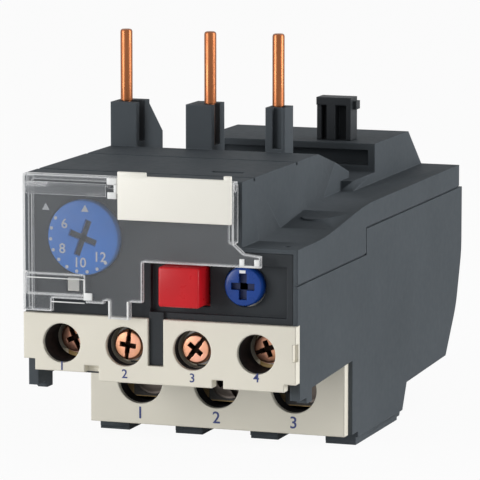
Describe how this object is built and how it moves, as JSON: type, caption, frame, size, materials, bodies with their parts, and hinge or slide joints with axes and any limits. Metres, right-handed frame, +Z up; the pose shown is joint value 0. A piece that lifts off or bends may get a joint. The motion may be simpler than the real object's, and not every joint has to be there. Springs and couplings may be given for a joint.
{
  "type": "thermal overload relay",
  "caption": "Plug-on thermal overload relay with line pins, setting dial under a hinged clear cover, stop button, reset knob and screw terminals.",
  "frame": {"origin": "middle of the footprint, on the plane of the feet", "axes": "+Z up along the line pins, -Y out of the front with the dial, +X to the reset knob's side"},
  "size_m": [0.045, 0.0946, 0.0655],
  "materials": {
    "housing_plastic": "fine moulded texture",
    "dark_plastic": "fine moulded texture",
    "pale_plastic": "satin",
    "clear_plastic": "polished, see-through",
    "white_plastic": "satin",
    "dial_plastic": "satin",
    "red_plastic": "glossy",
    "blue_plastic": "glossy",
    "inner_plastic": "satin",
    "copper": "drawn copper rod, slightly dulled",
    "terminal_metal": "stamped",
    "screw_metal": "copper plated",
    "clamp_metal": "zinc plated",
    "steel": "drawn",
    "bimetal": "rolled",
    "heater_metal": "rolled ribbon"
  },
  "bodies": {
    "housing": {"base_housing": "housing_plastic", "top_housing": "housing_plastic", "front_panel": "dark_plastic", "control_terminal_block": "pale_plastic", "power_terminal_cover": "pale_plastic", "cover_hinge_pin": "steel", "mounting_post": "dark_plastic", "housing_screws": "steel", "mechanism_frame": "inner_plastic", "stop_spring": "steel", "reset_spring": "steel", "lever_pin": "steel", "carrier_spring": "steel", "line_pin_1": "copper", "heater_1": "heater_metal", "bimetal_1": "bimetal", "load_terminal_1": "terminal_metal", "line_pin_2": "copper", "heater_2": "heater_metal", "bimetal_2": "bimetal", "load_terminal_2": "terminal_metal", "line_pin_3": "copper", "heater_3": "heater_metal", "bimetal_3": "bimetal", "load_terminal_3": "terminal_metal", "control_strip_1": "terminal_metal", "control_strip_2": "terminal_metal", "control_strip_3": "terminal_metal", "control_strip_4": "terminal_metal"},
    "cover": {"clear_cover": "clear_plastic", "legend_plate": "white_plastic"},
    "dial": {"setting_dial": "dial_plastic", "dial_cam": "white_plastic"},
    "stop": {"stop_button": "red_plastic"},
    "reset": {"reset_plunger": "white_plastic"},
    "knob": {"reset_knob": "blue_plastic"},
    "trip_bar": {"trip_slide": "inner_plastic"},
    "lever": {"trip_lever": "inner_plastic", "ambient_strip": "bimetal"},
    "carrier": {"contact_carrier": "inner_plastic", "closing_bridge": "terminal_metal", "opening_bridge": "terminal_metal", "trip_flag": "white_plastic"},
    "power_clamp_1_body": {"power_clamp_1": "clamp_metal"},
    "power_screw_1_body": {"power_screw_1": "screw_metal"},
    "power_clamp_2_body": {"power_clamp_2": "clamp_metal"},
    "power_screw_2_body": {"power_screw_2": "screw_metal"},
    "power_clamp_3_body": {"power_clamp_3": "clamp_metal"},
    "power_screw_3_body": {"power_screw_3": "screw_metal"},
    "control_clamp_1_body": {"control_clamp_1": "clamp_metal"},
    "control_screw_1_body": {"control_screw_1": "screw_metal"},
    "control_clamp_2_body": {"control_clamp_2": "clamp_metal"},
    "control_screw_2_body": {"control_screw_2": "screw_metal"},
    "control_clamp_3_body": {"control_clamp_3": "clamp_metal"},
    "control_screw_3_body": {"control_screw_3": "screw_metal"},
    "control_clamp_4_body": {"control_clamp_4": "clamp_metal"},
    "control_screw_4_body": {"control_screw_4": "screw_metal"}
  },
  "joints": [
    {"name": "cover_hinge", "type": "hinge", "parent": "housing", "child": "cover", "pos_m": [-0.0045, -0.045, 0.0456], "axis": [-1, 0, 0], "range_deg": [0, 95]},
    {"name": "dial_turn", "type": "hinge", "parent": "housing", "child": "dial", "pos_m": [-0.0125, -0.0445, 0.0366], "axis": [0, 1, 0], "range_deg": [-150, 120]},
    {"name": "stop_push", "type": "slide", "parent": "housing", "child": "stop", "axis": [0, 1, 0], "range_m": [0, 0.002], "stiffness_N_per_m": 400, "deforming": ["stop_spring"]},
    {"name": "reset_push", "type": "slide", "parent": "housing", "child": "reset", "axis": [0, 1, 0], "range_m": [0, 0.002], "stiffness_N_per_m": 400, "deforming": ["reset_spring"]},
    {"name": "reset_mode_turn", "type": "hinge", "parent": "reset", "child": "knob", "pos_m": [0.0138, -0.0442, 0.0302], "axis": [0, 1, 0], "range_deg": [0, 90]},
    {"name": "trip_travel", "type": "slide", "parent": "housing", "child": "trip_bar", "axis": [1, 0, 0], "range_m": [0, 0.0015], "stiffness_N_per_m": 300},
    {"name": "lever_swing", "type": "hinge", "parent": "housing", "child": "lever", "pos_m": [0.017, -0.018, 0.03235], "axis": [0, 0, 1], "range_deg": [-2.8, 0]},
    {"name": "carrier_travel", "type": "slide", "parent": "housing", "child": "carrier", "axis": [0, 1, 0], "range_m": [0, 0.00092], "deforming": ["carrier_spring"]},
    {"name": "power_clamp_1_travel", "type": "slide", "parent": "housing", "child": "power_clamp_1_body", "axis": [0, -1, 0], "range_m": [0, 0.004]},
    {"name": "power_screw_1_turn", "type": "hinge", "parent": "power_clamp_1_body", "child": "power_screw_1_body", "pos_m": [-0.0132, -0.01223, 0.00945], "axis": [0, -1, 0], "range_deg": [0, 2058.17]},
    {"name": "power_clamp_2_travel", "type": "slide", "parent": "housing", "child": "power_clamp_2_body", "axis": [0, -1, 0], "range_m": [0, 0.004]},
    {"name": "power_screw_2_turn", "type": "hinge", "parent": "power_clamp_2_body", "child": "power_screw_2_body", "pos_m": [0, -0.01223, 0.00945], "axis": [0, -1, 0], "range_deg": [0, 2058.17]},
    {"name": "power_clamp_3_travel", "type": "slide", "parent": "housing", "child": "power_clamp_3_body", "axis": [0, -1, 0], "range_m": [0, 0.004]},
    {"name": "power_screw_3_turn", "type": "hinge", "parent": "power_clamp_3_body", "child": "power_screw_3_body", "pos_m": [0.0132, -0.01223, 0.00945], "axis": [0, -1, 0], "range_deg": [0, 2058.17]},
    {"name": "control_clamp_1_travel", "type": "slide", "parent": "housing", "child": "control_clamp_1_body", "axis": [0, -1, 0], "range_m": [0, 0.004]},
    {"name": "control_screw_1_turn", "type": "hinge", "parent": "control_clamp_1_body", "child": "control_screw_1_body", "pos_m": [-0.0161, -0.039, 0.0198], "axis": [0, -1, 0], "range_deg": [0, 2881.44]},
    {"name": "control_clamp_2_travel", "type": "slide", "parent": "housing", "child": "control_clamp_2_body", "axis": [0, -1, 0], "range_m": [-0.004, 0]},
    {"name": "control_screw_2_turn", "type": "hinge", "parent": "control_clamp_2_body", "child": "control_screw_2_body", "pos_m": [-0.0056, -0.043, 0.0198], "axis": [0, -1, 0], "range_deg": [-2881.44, 0]},
    {"name": "control_clamp_3_travel", "type": "slide", "parent": "housing", "child": "control_clamp_3_body", "axis": [0, -1, 0], "range_m": [-0.004, 0]},
    {"name": "control_screw_3_turn", "type": "hinge", "parent": "control_clamp_3_body", "child": "control_screw_3_body", "pos_m": [0.0056, -0.043, 0.0198], "axis": [0, -1, 0], "range_deg": [-2881.44, 0]},
    {"name": "control_clamp_4_travel", "type": "slide", "parent": "housing", "child": "control_clamp_4_body", "axis": [0, -1, 0], "range_m": [0, 0.004]},
    {"name": "control_screw_4_turn", "type": "hinge", "parent": "control_clamp_4_body", "child": "control_screw_4_body", "pos_m": [0.0161, -0.039, 0.0198], "axis": [0, -1, 0], "range_deg": [0, 2881.44]}
  ],
  "couplings": [
    {"joint": "lever_swing", "follows": "trip_travel", "rad_per_m": -31.35},
    {"joint": "carrier_travel", "follows": "trip_travel", "ratio": 0.6},
    {"joint": "power_screw_1_turn", "follows": "power_clamp_1_travel", "rad_per_m": 8976},
    {"joint": "power_screw_2_turn", "follows": "power_clamp_2_travel", "rad_per_m": 8976},
    {"joint": "power_screw_3_turn", "follows": "power_clamp_3_travel", "rad_per_m": 8976},
    {"joint": "control_screw_1_turn", "follows": "control_clamp_1_travel", "rad_per_m": 12566},
    {"joint": "control_screw_2_turn", "follows": "control_clamp_2_travel", "rad_per_m": 12566},
    {"joint": "control_screw_3_turn", "follows": "control_clamp_3_travel", "rad_per_m": 12566},
    {"joint": "control_screw_4_turn", "follows": "control_clamp_4_travel", "rad_per_m": 12566}
  ]
}
